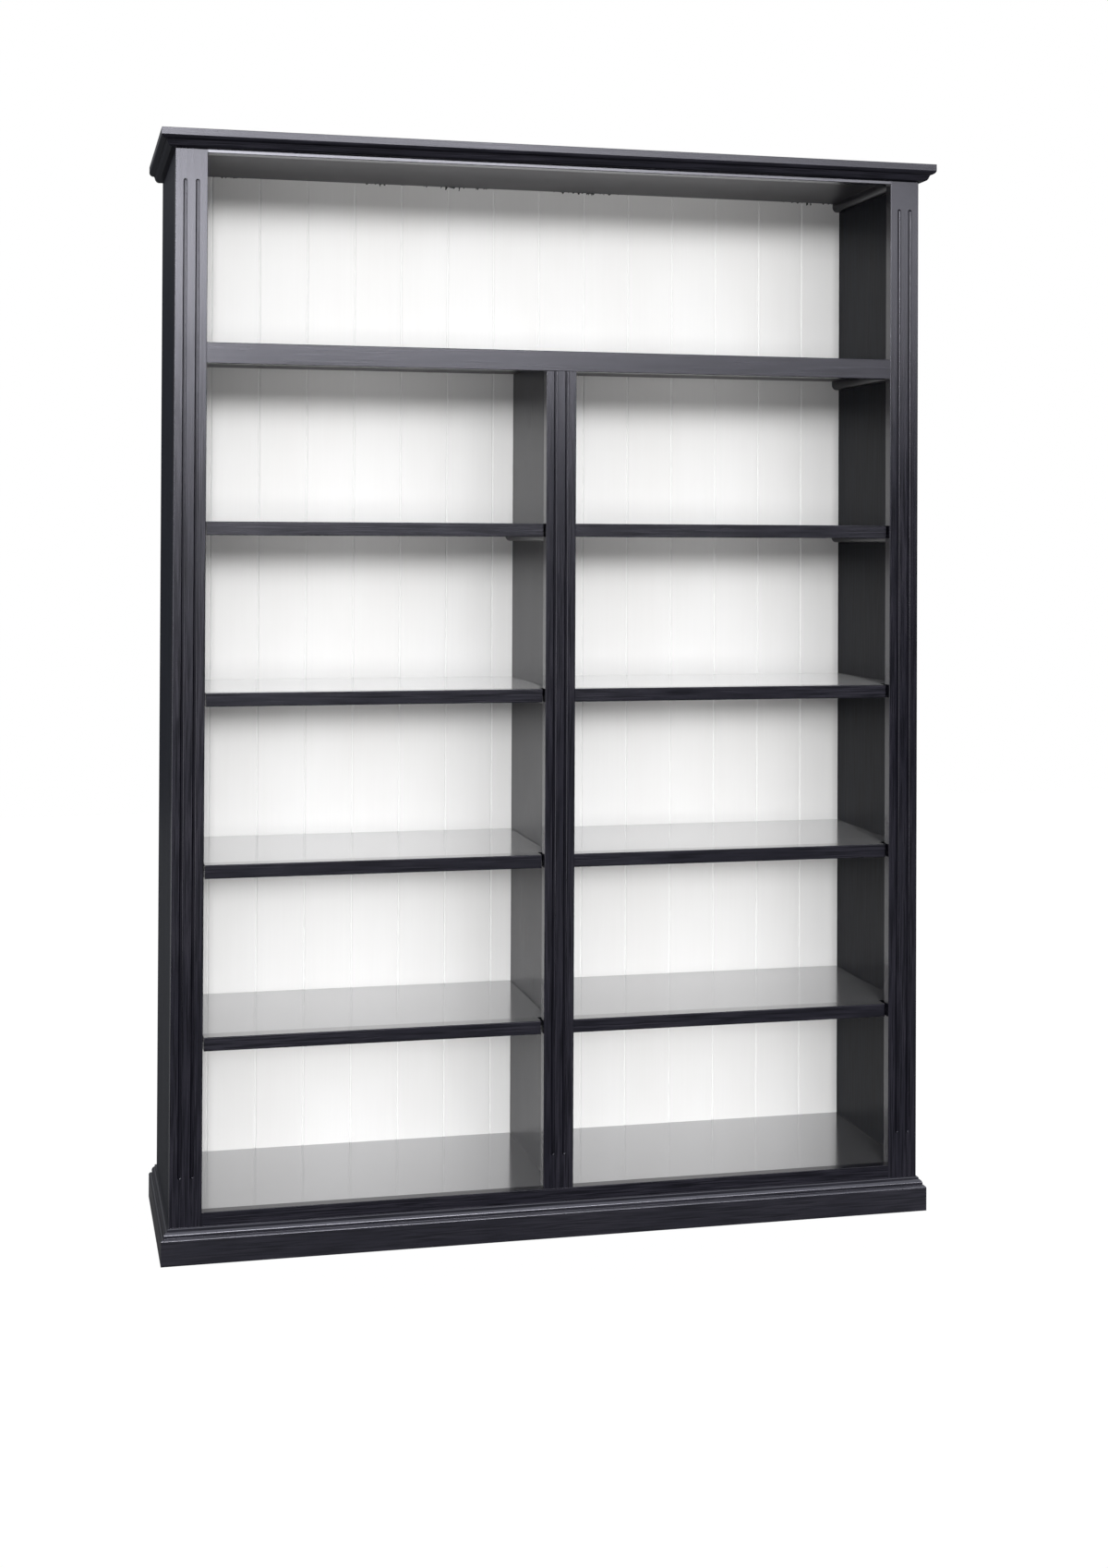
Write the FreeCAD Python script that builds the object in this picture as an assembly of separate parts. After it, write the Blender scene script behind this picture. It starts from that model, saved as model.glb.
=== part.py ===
import FreeCAD, Part
import os
from FreeCAD import Vector

# Painted timber bookcase: one wide compartment above two bays of loose shelves.
# X runs along the width, Y from front to back, Z up, in millimetres.
# The origin lies on the floor, in the middle of the outline in plan.

# Case
case_width = 1500.0              # across the outer edges of the face frame
case_depth = 400.0               # face frame front to the rear edges of the sides
overall_height = 2120.0
side_thick = 16.0
divider_thick = 16.0
shelf_thick = 16.0               # loose shelves, middle shelf and bottom panel
top_thick = 18.0

# Face frame
frame_thick = 22.0
stile_width = 60.5
centre_stile_width = 60.0
top_rail_height = 40.0
middle_rail_height = 39.5
frame_arris = 1.0                # rounding of the long front edges
tenon_length = 24.0
tenon_thick = 7.0
tenon_shoulder = 7.0             # left above and below a tenon
tenon_play = 0.3                 # at the end of a tenon, in its mortise

# Flutes cut into the stiles with a flat-nosed cutter whose corners are rounded
flute_inset = 18.7               # flute axis to the nearer edge of the stile
flute_width = 7.6
flute_depth = 2.2
flute_corner = 2.0
flute_head_gap = 50.0            # top rail to the upper end of an outer flute
flute_foot_gap = 64.0            # bottom rail to the lower end of every flute

# Levels
bottom_level = 91.0              # top of the bottom panel and its rail
upper_height = 396.5             # top of the middle shelf to the top of the case
shelf_count = 4                  # loose shelves in each bay, with equal spaces

# Loose shelves
shelf_setback = 12.0             # front of a lipping behind the face frame's front
lipping_depth = 32.0
lipping_height = 26.0
lipping_arris = 1.6
lipping_play = 3.0               # between a lipping and the stile beside it
shelf_end_play = 1.0             # between a shelf board and the case, at each end
shelf_back_play = 1.0

# Cleats that carry the shelves
cleat_width = 16.0
cleat_height = 19.0
cleat_round = 11.0               # lower outer edge

# Back of tongued and grooved boards with V joints
board_thick = 20.0
board_pitch = 99.6
first_board_shown = 84.0         # width of the cut first board beside the left side
board_lap = 10.0                 # into the rebate of each side
board_foot = 12.0                # lower ends of the boards above the floor
vee = 2.6                        # chamfer on each side of a joint
tongue_length = 6.0
tongue_thick = 6.0
tongue_play = 0.8                # left at the bottom of a groove

# Cornice, from the case outwards and from the top down
fascia_height = 13.0
fascia_arris = 0.8
upper_ovolo_reach = 9.5
upper_ovolo_height = 7.0
cornice_step_reach = 2.3
cornice_step_height = 6.0
lower_ovolo_reach = 10.2
lower_ovolo_height = 6.5
cornice_soffit = 5.5

# Plinth, from the floor up
plinth_flat = 45.4
plinth_shoulder = 4.0            # rounded top edge of the flat
plinth_quirk = 2.4
quirk_rise = 1.2
bead_reach = 5.4
bead_height = 10.4
plinth_cap = 4.2                 # thickness of the top fillet against the case
plinth_cap_height = 4.0
plinth_cap_arris = 1.0
plinth_rail_thick = 16.0         # rear rail and centre bearer under the bottom panel

# Shares: how far a quarter-round's middle point lies along each of its two sides
ovolo_run_share = 0.29
ovolo_drop_share = 0.71
bead_run_share = 0.05
bead_rise_share = 0.62

# Worked out from the sizes above
cornice_reach = (cornice_soffit + lower_ovolo_reach + cornice_step_reach
                 + upper_ovolo_reach)
cornice_height = (fascia_height + upper_ovolo_height + cornice_step_height
                  + lower_ovolo_height)
plinth_reach = plinth_cap + bead_reach + plinth_quirk + plinth_shoulder
half_width = case_width / 2
y_back = (case_depth + cornice_reach) / 2
y_front = y_back - case_depth
y_frame_back = y_front + frame_thick
y_boards = y_back - board_thick
x_side = half_width - side_thick             # inner faces of the sides
x_opening = half_width - stile_width         # inner edges of the outer stiles
x_centre = centre_stile_width / 2
x_divider = divider_thick / 2
z_top_rail = overall_height - top_rail_height
middle_level = overall_height - upper_height
z_middle_rail = middle_level - middle_rail_height
z_top_panel = overall_height - top_thick
z_middle_shelf = middle_level - shelf_thick
z_bottom_panel = bottom_level - shelf_thick
shelf_space = (z_middle_rail - bottom_level - shelf_count * lipping_height) / (shelf_count + 1)
shelf_pitch = shelf_space + lipping_height
y_lipping = y_front + shelf_setback
y_shelf = y_lipping + lipping_depth
board_count = 2 + int((2 * x_side - first_board_shown) / board_pitch)
corner_share = 1 - 0.5 ** 0.5                # a round corner's middle point


def block(x0, x1, y0, y1, z0, z1):
    """A square-edged board between three pairs of planes."""
    return Part.makeBox(x1 - x0, y1 - y0, z1 - z0, Vector(x0, y0, z0))


def outline(steps, place):
    """A face bounded by steps: (u, v) is a line's end, (u, v, u, v) an arc's middle and end."""
    start = place(*steps[0])
    here = start
    edges = []
    for step in steps[1:]:
        end = place(*step[-2:])
        if len(step) == 4:
            edges.append(Part.Arc(here, place(*step[:2]), end).toShape())
        else:
            edges.append(Part.LineSegment(here, end).toShape())
        here = end
    edges.append(Part.LineSegment(here, start).toShape())
    return Part.Face(Part.Wire(edges))


def along_x(steps, x0, x1):
    """An outline in Y and Z, run along X."""
    return outline(steps, lambda y, z: Vector(x0, y, z)).extrude(Vector(x1 - x0, 0, 0))


def along_y(steps, y0, y1):
    """An outline in X and Z, run along Y."""
    return outline(steps, lambda x, z: Vector(x, y0, z)).extrude(Vector(0, y1 - y0, 0))


def along_z(steps, z0, z1):
    """An outline in X and Y, run along Z."""
    return outline(steps, lambda x, y: Vector(x, y, z0)).extrude(Vector(0, 0, z1 - z0))


def rounded_front(low, high, front, back, radius):
    """Steps round a board's section whose two front corners are rounded."""
    cut = radius * corner_share
    return [
        (back, low),
        (back, high),
        (front + radius, high),
        (front + cut, high - cut, front, high - radius),
        (front, low + radius),
        (front + cut, low + cut, front + radius, low),
    ]


def swapped(steps):
    """The same steps with their two coordinates exchanged."""
    return [tuple(v for i in range(0, len(s), 2) for v in (s[i + 1], s[i])) for s in steps]


def one(shape):
    """The single clean solid of a boolean result."""
    return shape.removeSplitter().Solids[0]


def mirrored(shape):
    """The same piece on the other side of the case's middle plane."""
    return shape.mirror(Vector(0, 0, 0), Vector(1, 0, 0))


def flute(x, z0, z1):
    """The cutter's path: a stopped groove from z0 to z1, its ends left round."""
    half = flute_width / 2
    front = y_front - flute_depth
    floor = y_front + flute_depth
    cut = flute_corner * corner_share
    section = [
        (x - half, front),
        (x - half, floor - flute_corner),
        (x - half + cut, floor - cut, x - half + flute_corner, floor),
        (x + half - flute_corner, floor),
        (x + half - cut, floor - cut, x + half, floor - flute_corner),
        (x + half, front),
    ]
    path = along_z(section, z0 + half, z1 - half)
    ends = []
    for z in (z0 + half, z1 - half):
        profile = outline([(x, front), (x, floor)] + section[3:], lambda u, v: Vector(u, v, z))
        ends.append(profile.revolve(Vector(x, 0, z), Vector(0, 1, 0), 360))
    return [path] + ends


def tenon(x0, x1, z0, z1):
    """A tenon's block in the middle of the face frame's thickness."""
    y0 = y_front + (frame_thick - tenon_thick) / 2
    return block(x0, x1, y0, y0 + tenon_thick, z0, z1)


def rail_tenons(x_end, z0, z1, play):
    """The tenons at both ends of a rail, or with play the mortises for them."""
    low, high = z0 + tenon_shoulder, z1 - tenon_shoulder
    right = tenon(x_end, x_end + tenon_length + play, low, high)
    return [right, mirrored(right)]


def rail(x_end, z0, z1):
    """A rail between the outer stiles, with its tenons."""
    bar = along_x(rounded_front(z0, z1, y_front, y_frame_back, frame_arris), -x_end, x_end)
    return bar.fuse(rail_tenons(x_end, z0, z1, 0))


def stile_tenon(z0, z1):
    """A tenon on an end of the centre stile, or with a longer reach its mortise."""
    return tenon(-x_centre + tenon_shoulder, x_centre - tenon_shoulder, z0, z1)


def make_top_rail():
    return one(rail(x_opening, z_top_rail, overall_height))


def make_middle_rail():
    mortise = stile_tenon(z_middle_rail, z_middle_rail + tenon_length + tenon_play)
    return one(rail(x_opening, z_middle_rail, middle_level).cut(mortise))


def make_bottom_rail():
    mortise = stile_tenon(bottom_level - tenon_length - tenon_play, bottom_level)
    return one(rail(x_opening, 0, bottom_level).cut(mortise))


def make_left_stile():
    """An outer stile from floor to top, with two stopped flutes and three mortises."""
    section = swapped(rounded_front(-half_width, -x_opening, y_front, y_frame_back, frame_arris))
    post = along_z(section, 0, overall_height)
    cuts = []
    for x in (-half_width + flute_inset, -x_opening - flute_inset):
        cuts += flute(x, bottom_level + flute_foot_gap, z_top_rail - flute_head_gap)
    for z0, z1 in ((z_top_rail, overall_height), (z_middle_rail, middle_level), (0, bottom_level)):
        cuts.append(rail_tenons(x_opening, z0, z1, tenon_play)[1])
    return one(post.cut(cuts))


def make_centre_stile():
    """The stile between the bays: its flutes run out under the middle rail."""
    section = swapped(rounded_front(-x_centre, x_centre, y_front, y_frame_back, frame_arris))
    post = along_z(section, bottom_level, z_middle_rail)
    cuts = []
    for x in (-x_centre + flute_inset, x_centre - flute_inset):
        cuts += flute(x, bottom_level + flute_foot_gap, z_middle_rail + flute_width)
    post = post.cut(cuts)
    ends = [stile_tenon(z_middle_rail, z_middle_rail + tenon_length),
            stile_tenon(bottom_level - tenon_length, bottom_level)]
    return one(post.fuse(ends))


def cleat_rows():
    """Each cleat's group, the face it is fixed to, its direction, its level and its rear end."""
    y_bearers = y_boards - plinth_rail_thick
    rows = []
    for name, level, y_end in (("top_panel_cleats", z_top_panel, y_boards),
                               ("middle_shelf_cleats", z_middle_shelf, y_boards),
                               ("bottom_panel_cleats", z_bottom_panel, y_bearers)):
        rows.append((name, -x_side, 1, level, y_end))
        rows.append((name, x_side, -1, level, y_end))
    for shelf_level in loose_levels():
        level = shelf_level - shelf_thick
        rows.append(("left_bay_cleats", -x_side, 1, level, y_boards))
        rows.append(("left_bay_cleats", -x_divider, -1, level, y_boards))
        rows.append(("right_bay_cleats", x_divider, 1, level, y_boards))
        rows.append(("right_bay_cleats", x_side, -1, level, y_boards))
    return rows


def loose_levels():
    """The shelf tops in a bay, from the highest down."""
    return [bottom_level + shelf_pitch * n for n in range(shelf_count, 0, -1)]


def cleat(x_face, way, level, y_end):
    """A bearer fixed to a panel's face, its lower free edge rounded."""
    x_free = x_face + way * cleat_width
    z0 = level - cleat_height
    cut = cleat_round * corner_share
    steps = [
        (x_face, z0),
        (x_face, level),
        (x_free, level),
        (x_free, z0 + cleat_round),
        (x_free - way * cut, z0 + cut, x_free - way * cleat_round, z0),
    ]
    return along_y(steps, y_frame_back, y_end)


def make_cleats():
    """The cleats, grouped by the shelf or bay that they serve."""
    groups = {}
    for name, *place in cleat_rows():
        groups.setdefault(name, []).append(cleat(*place))
    return {name: Part.makeCompound(solids) for name, solids in groups.items()}


def make_left_side():
    """A side panel with a rebate for the back boards along its rear edge."""
    steps = [
        (-half_width, y_frame_back),
        (-x_side, y_frame_back),
        (-x_side, y_boards),
        (-x_side - board_lap, y_boards),
        (-x_side - board_lap, y_back),
        (-half_width, y_back),
    ]
    return along_z(steps, 0, overall_height)


def between_sides(z0, z1):
    """A full-width panel between the two sides, up to the back boards."""
    return block(-x_side, x_side, y_frame_back, y_boards, z0, z1)


def back_board(number):
    """A tongued and grooved board, with a V joint beside each neighbour."""
    left_joint = -x_side + first_board_shown + (number - 2) * board_pitch
    right_joint = left_joint + board_pitch
    is_first = number == 1
    is_last = number == board_count
    left = -x_side - board_lap if is_first else left_joint
    right = x_side + board_lap if is_last else right_joint
    y_tongue = y_boards + (board_thick - tongue_thick) / 2
    y_tongue_back = y_tongue + tongue_thick
    steps = []
    if is_first:
        steps += [(left, y_back), (left, y_boards)]
    else:
        groove = left + tongue_length + tongue_play
        steps += [
            (left, y_back),
            (left, y_tongue_back),
            (groove, y_tongue_back),
            (groove, y_tongue),
            (left, y_tongue),
            (left, y_boards + vee),
            (left + vee, y_boards),
        ]
    if is_last:
        steps += [(right, y_boards), (right, y_back)]
    else:
        tip = right + tongue_length
        steps += [
            (right - vee, y_boards),
            (right, y_boards + vee),
            (right, y_tongue),
            (tip, y_tongue),
            (tip, y_tongue_back),
            (right, y_tongue_back),
            (right, y_back),
        ]
    return along_z(steps, board_foot, overall_height)


def shelf_span(side):
    """The two ends of the space between a bay's panels, side being -1 or 1."""
    return sorted((side * x_divider, side * x_side))


def shelf_board(side, level):
    x0, x1 = shelf_span(side)
    return block(x0 + shelf_end_play, x1 - shelf_end_play, y_shelf,
                 y_boards - shelf_back_play, level - shelf_thick, level)


def shelf_lipping(side, level):
    """The deeper front edge of a loose shelf, which stands between two stiles."""
    x0, x1 = sorted((side * x_centre, side * x_opening))
    section = rounded_front(level - lipping_height, level, y_lipping, y_shelf, lipping_arris)
    return along_x(section, x0 + lipping_play, x1 - lipping_play)


def cornice_steps():
    """The cornice section: distance out from the case, and height."""
    top = overall_height
    reach = cornice_reach
    z_fascia = top - fascia_height
    x_step = reach - upper_ovolo_reach
    z_step = z_fascia - upper_ovolo_height
    x_lower = x_step - cornice_step_reach
    z_lower = z_step - cornice_step_height
    z_foot = z_lower - lower_ovolo_height
    cut = fascia_arris * corner_share
    return [
        (0, top),
        (reach - fascia_arris, top),
        (reach - cut, top - cut, reach, top - fascia_arris),
        (reach, z_fascia),
        (reach - upper_ovolo_reach * ovolo_run_share,
         z_fascia - upper_ovolo_height * ovolo_drop_share, x_step, z_step),
        (x_lower, z_lower),
        (x_lower - lower_ovolo_reach * ovolo_run_share,
         z_lower - lower_ovolo_height * ovolo_drop_share, cornice_soffit, z_foot),
        (0, z_foot),
    ]


def plinth_steps():
    """The plinth section: distance out from the case, and height."""
    reach = plinth_reach
    cut = plinth_shoulder * corner_share
    x_quirk = reach - plinth_shoulder
    z_quirk = plinth_flat + plinth_shoulder
    x_bead = x_quirk - plinth_quirk
    z_bead = z_quirk + quirk_rise
    z_cap = z_bead + bead_height
    z_end = z_cap + plinth_cap_height
    return [
        (0, 0),
        (reach, 0),
        (reach, plinth_flat),
        (reach - cut, z_quirk - cut, x_quirk, z_quirk),
        (x_bead, z_quirk),
        (x_bead, z_bead),
        (x_bead - bead_reach * bead_run_share, z_bead + bead_height * bead_rise_share,
         plinth_cap, z_cap),
        (plinth_cap, z_end - plinth_cap_arris),
        (plinth_cap - plinth_cap_arris, z_end),
        (0, z_end),
    ]


def front_moulding(steps, reach):
    """A moulding across the front, mitred at both ends."""
    placed = [tuple(y_front - v if i % 2 == 0 else v for i, v in enumerate(s)) for s in steps]
    bar = along_x(placed, -half_width - reach, half_width + reach)
    plan = [
        (-half_width, y_front),
        (-half_width - reach, y_front - reach),
        (half_width + reach, y_front - reach),
        (half_width, y_front),
    ]
    return one(bar.common(along_z(plan, 0, overall_height)))


def left_moulding(steps, reach):
    """The return of a moulding along the left side, mitred at the front."""
    placed = [tuple(-half_width - v if i % 2 == 0 else v for i, v in enumerate(s)) for s in steps]
    bar = along_y(placed, y_front - reach, y_back)
    plan = [
        (-half_width, y_front),
        (-half_width - reach, y_front - reach),
        (-half_width - reach, y_back),
        (-half_width, y_back),
    ]
    return one(bar.common(along_z(plan, 0, overall_height)))


def make_rear_rail():
    return block(-x_side, x_side, y_boards - plinth_rail_thick, y_boards, 0, z_bottom_panel)


def make_centre_bearer():
    half = plinth_rail_thick / 2
    return block(-half, half, y_frame_back, y_boards - plinth_rail_thick, 0, z_bottom_panel)


def make_divider():
    return block(-x_divider, x_divider, y_frame_back, y_boards, bottom_level, z_middle_shelf)


def build():
    """Every node of the bookcase, by name."""
    nodes = {
        "left_side_panel": make_left_side(),
        "right_side_panel": mirrored(make_left_side()),
        "centre_divider": make_divider(),
        "top_panel": between_sides(z_top_panel, overall_height),
        "middle_shelf": between_sides(z_middle_shelf, middle_level),
        "bottom_panel": between_sides(z_bottom_panel, bottom_level),
        "left_stile": make_left_stile(),
        "right_stile": mirrored(make_left_stile()),
        "centre_stile": make_centre_stile(),
        "top_rail": make_top_rail(),
        "middle_rail": make_middle_rail(),
        "bottom_rail": make_bottom_rail(),
        "plinth_rear_rail": make_rear_rail(),
        "plinth_centre_bearer": make_centre_bearer(),
    }
    for name, steps, reach in (("cornice", cornice_steps(), cornice_reach),
                               ("plinth", plinth_steps(), plinth_reach)):
        left_return = left_moulding(steps, reach)
        nodes[name + "_front"] = front_moulding(steps, reach)
        nodes[name + "_left_return"] = left_return
        nodes[name + "_right_return"] = mirrored(left_return)
    nodes.update(make_cleats())
    for number in range(1, board_count + 1):
        nodes["back_board_%02d" % number] = back_board(number)
    for bay, side in (("left", -1), ("right", 1)):
        for number, level in enumerate(loose_levels(), 1):
            shelf = "%s_shelf_%d" % (bay, number)
            nodes[shelf + "_board"] = shelf_board(side, level)
            nodes[shelf + "_lipping"] = shelf_lipping(side, level)
    return nodes


os.makedirs("parts", exist_ok=True)
for node_name, shape in build().items():
    shape.exportStep("parts/" + node_name + ".step")
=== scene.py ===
from math import pi, radians

import bpy
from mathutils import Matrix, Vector


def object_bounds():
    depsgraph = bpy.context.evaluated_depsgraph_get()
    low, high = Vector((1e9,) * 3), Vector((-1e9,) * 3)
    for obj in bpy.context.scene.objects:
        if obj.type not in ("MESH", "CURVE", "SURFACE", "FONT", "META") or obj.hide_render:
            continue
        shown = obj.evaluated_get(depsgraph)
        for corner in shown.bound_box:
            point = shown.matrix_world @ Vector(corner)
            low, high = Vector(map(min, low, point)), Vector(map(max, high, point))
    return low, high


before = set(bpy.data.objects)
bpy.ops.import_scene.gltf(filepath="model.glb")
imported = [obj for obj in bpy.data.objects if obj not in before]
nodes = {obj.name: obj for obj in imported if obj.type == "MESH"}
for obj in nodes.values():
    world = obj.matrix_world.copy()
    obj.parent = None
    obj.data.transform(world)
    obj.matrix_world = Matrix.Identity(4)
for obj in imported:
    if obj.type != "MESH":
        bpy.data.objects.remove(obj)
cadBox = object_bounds()
front = cadBox[0][1]                         # the mouldings' front plane
mouldingReach = 0.0275                       # how far they stand before the face frame
frameFront = front + mouldingReach
print("frame loaded:", len(nodes), "nodes")


class Wire:
    # a shader socket that takes part in sums; add() makes any other node
    def __init__(self, tree, socket=None):
        self.tree = tree
        self.socket = socket

    def add(self, kind, settings=None, sockets=None, out=0):
        # settings are set first; "stops" is a colour ramp's list of places and colours
        node = self.tree.nodes.new(kind)
        for name, value in (settings or {}).items():
            if name == "stops":
                ramp = node.color_ramp
                while len(ramp.elements) < len(value):
                    ramp.elements.new(1.0)
                for element, (place, shade) in zip(ramp.elements, value):
                    element.position = place
                    element.color = shade
            else:
                setattr(node, name, value)
        for name, value in (sockets or {}).items():
            if isinstance(value, Wire):
                self.tree.links.new(value.socket, node.inputs[name])
            else:
                node.inputs[name].default_value = value
        return Wire(self.tree, node.outputs[out] if node.outputs else None)

    def maths(self, operation, first, second=0.0):
        return self.add("ShaderNodeMath", {"operation": operation}, {0: first, 1: second})

    def __add__(self, other):
        return self.maths("ADD", self, other)

    def __radd__(self, other):
        return self.maths("ADD", other, self)

    def __sub__(self, other):
        return self.maths("SUBTRACT", self, other)

    def __rsub__(self, other):
        return self.maths("SUBTRACT", other, self)

    def __mul__(self, other):
        return self.maths("MULTIPLY", self, other)

    def __rmul__(self, other):
        return self.maths("MULTIPLY", other, self)

    def clamped(self):
        return self.add("ShaderNodeClamp", {}, {"Value": self})

    def band(self, low, high):
        # 0 below low, 1 above high, smooth between
        return self.add("ShaderNodeMapRange", {"interpolation_type": "SMOOTHSTEP"},
                        {"Value": self, "From Min": low, "From Max": high})

    def axis(self, letter):
        return self.add("ShaderNodeSeparateXYZ", {}, {"Vector": self}, out=letter)

    def noise(self, scale, detail, roughness, distortion=0.0):
        # scale is in features per metre along x, y and z
        stretched = self.add("ShaderNodeMapping", {}, {"Vector": self, "Scale": scale})
        return self.add("ShaderNodeTexNoise", {},
                        {"Vector": stretched, "Scale": 1.0, "Detail": detail,
                         "Roughness": roughness, "Distortion": distortion})

    def blend(self, amount, first, second):
        # the Mix node's colour sockets are the seventh and eighth, its colour output the third
        return self.add("ShaderNodeMix", {"data_type": "RGBA"},
                        {0: amount, 6: first, 7: second}, out=2)


def newMaterial(name):
    material = bpy.data.materials.new(name)
    material.use_nodes = True
    material.node_tree.nodes.clear()
    return material, Wire(material.node_tree)


def finishMaterial(tree, shader):
    tree.add("ShaderNodeOutputMaterial", {}, {"Surface": shader})


# each noise has its detail, its roughness and its distortion
blackTimber = {
    "deep": (0.0022, 0.0021, 0.0038, 1),     # stain lying in the pores
    "stain": (0.0066, 0.0064, 0.0108, 1),    # plain surface
    "panelStain": (0.0050, 0.0078, 0.0145, 1),   # bluer on the wide panels
    "pale": (0.0180, 0.0165, 0.0225, 1),     # hard bands that took less stain
    "shine": (0.90, 0.895, 1.0, 1),          # the gloss is a little bluer than the stain
    "pores": (420.0, 9.6),                   # features per metre across and along the grain
    "bands": (38.0, 1.6),
    "cloud": (6.4, 3.2),
    "poreNoise": (3.0, 0.62, 0.15),
    "bandNoise": (4.0, 0.55, 0.9),
    "cloudNoise": (3.0, 0.5, 0.4),
    "ringTurns": 34.0,                       # radians of ripple over the bands' whole range
    "streakEdge": (0.35, 0.7),
    "streakShares": (0.30, 0.38, 0.32),      # of rings, bands and clouds in the pale streaks
    "stainEdge": (0.36, 0.56),               # where pores give way to plain stain
    "paleEdge": (0.40, 0.62),                # where plain stain takes the streaks
    "unevenness": 0.09,                      # of the roughness
    "poreDepth": 0.00005,
    "ringRelief": 0.35,                      # the rings' part in the relief
}

polishCoat = {                               # on faces that look up, seen at a slant
    "upwardEdge": (0.5, 0.9),
    "slantBlend": 0.5,
    "slantEdge": (0.3, 0.7),
    "roughness": 0.11,
    "ior": 2.6,
    "sheen": 0.12,
    "sheenRoughness": 0.3,
}

paintedFluteShade = {                               # painted shade: dark and matt on the flutes' walls that face right, which lie in shade
    "lipEdge": (0.0002, 0.0006),             # metres behind the frame's front where it begins
    "floorEdge": (0.0022, 0.0025),           # and where it ends
    "wallEdge": (-0.12, 0.12),               # how far a wall faces right
}


def blackStain(name, grain, roughness, ior, figure, polish=0.0, stain="stain", relief=0.4,
               shadeFlutes=False):
    look = blackTimber
    material, tree = newMaterial(name)
    place = tree.add("ShaderNodeTexCoord", out="Object")
    facing = tree.add("ShaderNodeNewGeometry", out="Normal")

    def grainScale(across, along):
        scale = [across, across, across]
        scale[grain] = along
        return scale

    bandDetail, bandRoughness, bandWarp = look["bandNoise"]
    pores = place.noise(grainScale(*look["pores"]), *look["poreNoise"])
    bands = place.noise(grainScale(*look["bands"]), bandDetail, bandRoughness, bandWarp + figure)
    clouds = place.noise(grainScale(*look["cloud"]), *look["cloudNoise"])
    rings = tree.maths("SINE", bands * look["ringTurns"]) * 0.5 + 0.5
    ringShare, bandShare, cloudShare = look["streakShares"]
    streak = (rings * ringShare + bands.band(*look["streakEdge"]) * bandShare
              + clouds.band(*look["streakEdge"]) * cloudShare).clamped()
    dark = tree.blend(pores.band(*look["stainEdge"]), look["deep"], look[stain])
    colour = tree.blend(streak * pores.band(*look["paleEdge"]), dark, look["pale"])
    uneven = (roughness + (pores - 0.5) * look["unevenness"]
              + (clouds - 0.5) * look["unevenness"])
    bump = tree.add("ShaderNodeBump", {},
                    {"Strength": relief, "Distance": look["poreDepth"],
                     "Height": pores + rings * look["ringRelief"]})
    sockets = {"Base Color": colour, "Roughness": uneven, "IOR": ior,
               "Specular Tint": look["shine"], "Normal": bump}
    if polish:
        coat = polishCoat
        slant = tree.add("ShaderNodeLayerWeight", {}, {"Blend": coat["slantBlend"]}, out="Facing")
        weight = facing.axis("Z").band(*coat["upwardEdge"]) * slant.band(*coat["slantEdge"])
        sockets.update({"Coat Weight": weight * polish, "Coat Roughness": coat["roughness"],
                        "Coat IOR": coat["ior"], "Sheen Weight": coat["sheen"],
                        "Sheen Roughness": coat["sheenRoughness"]})
    shader = tree.add("ShaderNodeBsdfPrincipled", {}, sockets)
    # painted shade: the flutes' walls that face right are mixed toward a dark matt diffuse in the
    # pores' colour, standing in for their shade
    if shadeFlutes:
        flute = paintedFluteShade
        depth = place.axis("Y") - frameFront
        paintedShade = (depth.band(*flute["lipEdge"]) * facing.axis("X").band(*flute["wallEdge"])
                  * (1 - depth.band(*flute["floorEdge"])))
        matt = tree.add("ShaderNodeBsdfDiffuse", {}, {"Color": look["deep"]})
        shader = tree.add("ShaderNodeMixShader", {}, {0: paintedShade, 1: shader, 2: matt})
    finishMaterial(tree, shader)
    return material


# each noise has its detail and its roughness, each scale its features per metre in x, y and z
whiteBoards = {
    "name": "white_paint_boards",
    "paint": (0.83, 0.83, 0.825, 1),
    "shade": (0.77, 0.765, 0.755, 1),
    "paintedJointLight": (0.86, 0.86, 0.855, 1),    # painted light: the joints' chamfers are painted lighter so their shade shows fainter
    "jointEdge": (0.25, 0.45),               # how far a chamfer leans to either side
    "brush": (260.0, 260.0, 5.0),
    "brushNoise": (3.0, 0.55),
    "brushShare": 0.4,
    "brushRelief": 0.35,
    "brushDepth": 0.00008,
    "patch": (5.0, 5.0, 2.0),
    "patchNoise": (3.0, 0.5),
    "patchEdge": (0.3, 0.7),
    "patchShare": 0.6,
    "roughness": 0.42,
    "patchRoughness": 0.10,
}

blackStrays = {                              # black paint brushed over the boards' top edge
    "colour": (0.03, 0.028, 0.03, 1),
    "level": 2.1000,                         # metres above the floor
    "slips": (130.0, 1.0, 60.0),
    "slipNoise": (2.0, 0.6),
    "slipEdge": (0.50, 0.70),
    "spells": (5.0, 1.0, 1.0),               # stretches where the brush slipped
    "spellNoise": (1.0, 0.5),
    "spellEdge": (0.43, 0.58),
    "reach": 0.0075,                         # how much further down the longest one comes
    "edge": (0.0018, 0.0026),                # metres over the level where the black begins
}


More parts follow.
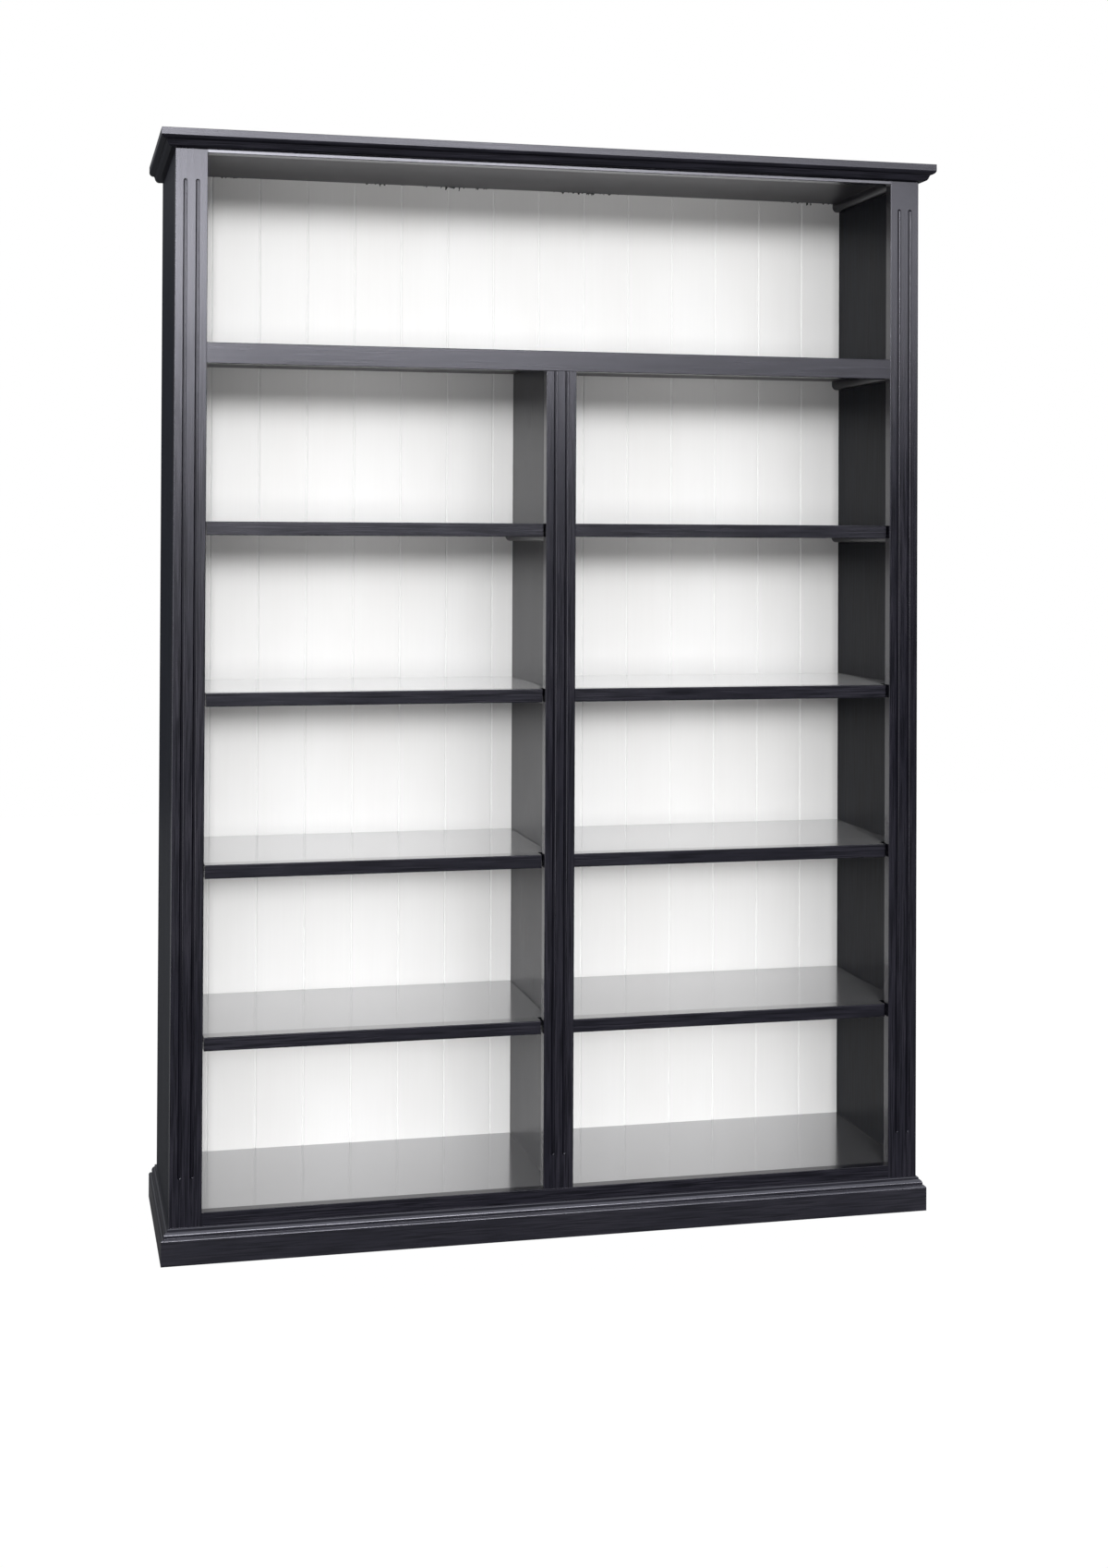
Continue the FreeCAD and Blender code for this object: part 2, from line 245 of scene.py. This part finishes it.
def whitePaint():
    look = whiteBoards
    material, tree = newMaterial(look["name"])
    place = tree.add("ShaderNodeTexCoord", out="Object")
    facing = tree.add("ShaderNodeNewGeometry", out="Normal")
    brush = place.noise(look["brush"], *look["brushNoise"])
    patch = place.noise(look["patch"], *look["patchNoise"])
    shading = patch.band(*look["patchEdge"]) * look["patchShare"] + brush * look["brushShare"]
    colour = tree.blend(shading.clamped(), look["shade"], look["paint"])
    # painted light: faces that lean aside, the joints' chamfers, are painted lighter to soften
    # their shade
    leaning = tree.maths("ABSOLUTE", facing.axis("X"))
    colour = tree.blend(leaning.band(*look["jointEdge"]), colour, look["paintedJointLight"])

    stray = blackStrays
    slips = place.noise(stray["slips"], *stray["slipNoise"]).band(*stray["slipEdge"])
    spells = place.noise(stray["spells"], *stray["spellNoise"]).band(*stray["spellEdge"])
    covered = place.axis("Z") - stray["level"] + slips * spells * stray["reach"]
    colour = tree.blend(covered.band(*stray["edge"]), colour, stray["colour"])

    bump = tree.add("ShaderNodeBump", {},
                    {"Strength": look["brushRelief"], "Distance": look["brushDepth"],
                     "Height": brush})
    shader = tree.add("ShaderNodeBsdfPrincipled", {},
                      {"Base Color": colour, "Normal": bump,
                       "Roughness": look["roughness"] + patch * look["patchRoughness"]})
    finishMaterial(tree, shader)
    return material


# grain is the axis along which the wood runs, 0, 1 or 2, and figure sets its growth bands apart
blackFinishes = {
    # the uprights' flutes get painted shade on their walls that face right
    "uprights": {"name": "black_stain_upright", "grain": 2, "roughness": 0.20, "ior": 1.5,
                 "figure": 0.0, "relief": 0.2, "shadeFlutes": True},
    "rails": {"name": "black_stain_rail", "grain": 0, "roughness": 0.20, "ior": 1.5,
              "figure": 0.3},
    "topRail": {"name": "black_stain_top_rail", "grain": 0, "roughness": 0.24, "ior": 1.85,
                "figure": 0.9},
    "returns": {"name": "black_stain_return", "grain": 1, "roughness": 0.30, "ior": 1.4,
                "figure": 0.5},
    "plinth": {"name": "black_stain_plinth", "grain": 0, "roughness": 0.16, "ior": 2.0,
               "figure": 1.1, "relief": 0.15},
    "undersides": {"name": "black_stain_underside", "grain": 0, "roughness": 0.36, "ior": 1.6,
                   "figure": 0.7},
    "sides": {"name": "black_stain_side", "grain": 2, "roughness": 0.40, "ior": 1.16,
              "figure": 0.2, "stain": "panelStain"},
    "divider": {"name": "black_stain_divider", "grain": 2, "roughness": 0.30, "ior": 1.32,
                "figure": 0.4, "stain": "panelStain"},
    "lippings": {"name": "black_stain_lipping", "grain": 0, "roughness": 0.22, "ior": 1.5,
                 "figure": 0.6, "polish": 0.7},
    "shelves": {"name": "black_stain_shelf", "grain": 0, "roughness": 0.15, "ior": 2.0,
                "figure": 0.1, "polish": 1.0},
}
finishes = {piece: blackStain(**look) for piece, look in blackFinishes.items()}
finishes["boards"] = whitePaint()


def finishOf(node):
    if node.startswith("back_board"):
        return "boards"
    if node == "top_rail":
        return "topRail"
    if node == "plinth_front":
        return "plinth"
    if node.endswith("_lipping"):
        return "lippings"
    if node in ("top_panel", "middle_shelf"):
        return "undersides"
    if node.endswith("_board") or node == "bottom_panel":
        return "shelves"
    if node.endswith(("return", "cleats")) or node == "plinth_centre_bearer":
        return "returns"
    if node.endswith("stile"):
        return "uprights"
    if node.endswith("side_panel"):
        return "sides"
    if node == "centre_divider":
        return "divider"
    return "rails"


for node in nodes:
    slots = nodes[node].data.materials
    slots.clear()
    slots.append(finishes[finishOf(node)])
print("materials on", len(nodes), "nodes")


room = {
    "floorSize": 12.0,
    "floorColour": (0.18, 0.18, 0.18, 1),
    "ground": (1, 1, 1, 1),                  # white that the camera sees
    "groundStrength": 1.1,
    "groundShare": 0.90,                     # how much of it covers the floor
    "dome": [(0.12, (0.05, 0.053, 0.06, 1)),     # from the horizon up to the zenith
             (0.45, (0.80, 0.82, 0.86, 1)),
             (1.0, (0.95, 0.97, 1.0, 1))],
}


def makeFloor():
    half = room["floorSize"] / 2
    mesh = bpy.data.meshes.new("studio_floor")
    mesh.from_pydata([(-half, -half, 0), (half, -half, 0), (half, half, 0), (-half, half, 0)],
                     [], [(0, 1, 2, 3)])
    floor = bpy.data.objects.new("studio_floor", mesh)
    bpy.context.scene.collection.objects.link(floor)
    material, tree = newMaterial("pale_floor")
    cameraRay = tree.add("ShaderNodeLightPath", out="Is Camera Ray")
    matt = tree.add("ShaderNodeBsdfDiffuse", {}, {"Color": room["floorColour"]})
    white = tree.add("ShaderNodeEmission", {},
                     {"Color": room["ground"], "Strength": room["groundStrength"]})
    shown = tree.add("ShaderNodeMixShader", {},
                     {0: cameraRay * room["groundShare"], 1: matt, 2: white})
    finishMaterial(tree, shown)
    mesh.materials.append(material)


def makeWorld():
    world = bpy.data.worlds.new("studio")
    bpy.context.scene.world = world
    world.use_nodes = True
    world.node_tree.nodes.clear()
    tree = Wire(world.node_tree)
    height = tree.add("ShaderNodeTexCoord").axis("Z")    # of the direction looked in
    dome = tree.add("ShaderNodeValToRGB", {"stops": room["dome"]}, {"Fac": height})
    cameraRay = tree.add("ShaderNodeLightPath", out="Is Camera Ray")
    shown = tree.blend(cameraRay, dome, room["ground"])
    background = tree.add("ShaderNodeBackground", {}, {"Color": shown, "Strength": 1.0})
    tree.add("ShaderNodeOutputWorld", {}, {"Surface": background})


makeFloor()
makeWorld()

# brightness is the lamp's own, so it looks as light from any distance
lamps = {
    "distance": 24.0,                        # in front of the case
    "panels": {                              # from x, to x, from z, to z, brightness
        "window_low": (-4.2, -1.05, 3.5, 6.1, 80.0),
        "window_middle": (-4.2, -1.05, 6.1, 8.6, 46.0),
        "window_high": (-4.2, -1.05, 8.6, 12.0, 12.0),
        "wall_near": (0.2, 2.6, 4.3, 7.2, 10.0),
        "wall_right": (2.6, 6.2, 4.3, 7.2, 15.0),
        "wall_far_right": (6.2, 9.7, 4.3, 7.2, 8.5),
        "wall_end": (9.7, 14.5, 4.3, 7.2, 5.0),
        "wall_left": (-15.5, -4.2, 3.5, 8.6, 1.5),
    },
    "fillDistance": 8.0,
    "fillColour": (1.0, 0.985, 0.975),
    "fill": (-8.0, 8.0, 0.05, 1.35, 4.6),    # matt light from near the ground, not mirrored
    "cardPlace": -3.2,                       # x of the card at the left, which is only mirrored
    "card": (-5.0, 1.5, 0.0, 3.2, 3.0),      # from y, to y, from z, to z, brightness
}


def softbox(name, place, target, width, height, brightness):
    lamp = bpy.data.lights.new(name, "AREA")
    lamp.shape = "RECTANGLE"
    lamp.size = width
    lamp.size_y = height
    lamp.energy = brightness * pi * width * height
    holder = bpy.data.objects.new(name, lamp)
    bpy.context.scene.collection.objects.link(holder)
    holder.location = place
    holder.rotation_euler = (Vector(target) - Vector(place)).to_track_quat("-Z", "Y").to_euler()
    holder.visible_camera = False
    return holder


def frontLamp(name, distance, start, end, under, over, brightness):
    across, up = (start + end) / 2, (under + over) / 2
    return softbox(name, (across, front - distance, up), (across, front, up),
                   end - start, over - under, brightness)


def leftCard(name, x, start, end, under, over, brightness):
    along, up = (start + end) / 2, (under + over) / 2
    return softbox(name, (x, along, up), (0, along, up), end - start, over - under, brightness)


for name, extent in lamps["panels"].items():
    frontLamp(name, lamps["distance"], *extent)
fill = frontLamp("fill", lamps["fillDistance"], *lamps["fill"])
fill.visible_glossy = False
fill.data.color = lamps["fillColour"]
card = leftCard("side_card", lamps["cardPlace"], *lamps["card"])
card.visible_diffuse = False
print("room and lamps made")


lens = {
    "eye": (-0.9987, frameFront - 3.8332, 1.3575),
    "turn": (90.5425, -0.2677, -12.8450),    # degrees
    "sensor": 36,                            # millimetres, like the focal length
    "focal": 46.506,
    "shift": (0.03515, -0.16917),
}
camera = bpy.data.cameras.new("photo_view")
camera.lens = lens["focal"]
camera.sensor_width = lens["sensor"]
camera.shift_x, camera.shift_y = lens["shift"]
cameraHolder = bpy.data.objects.new("photo_view", camera)
bpy.context.scene.collection.objects.link(cameraHolder)
cameraHolder.location = lens["eye"]
cameraHolder.rotation_euler = [radians(angle) for angle in lens["turn"]]
bpy.context.scene.camera = cameraHolder
bpy.context.scene.view_settings.view_transform = "Standard"
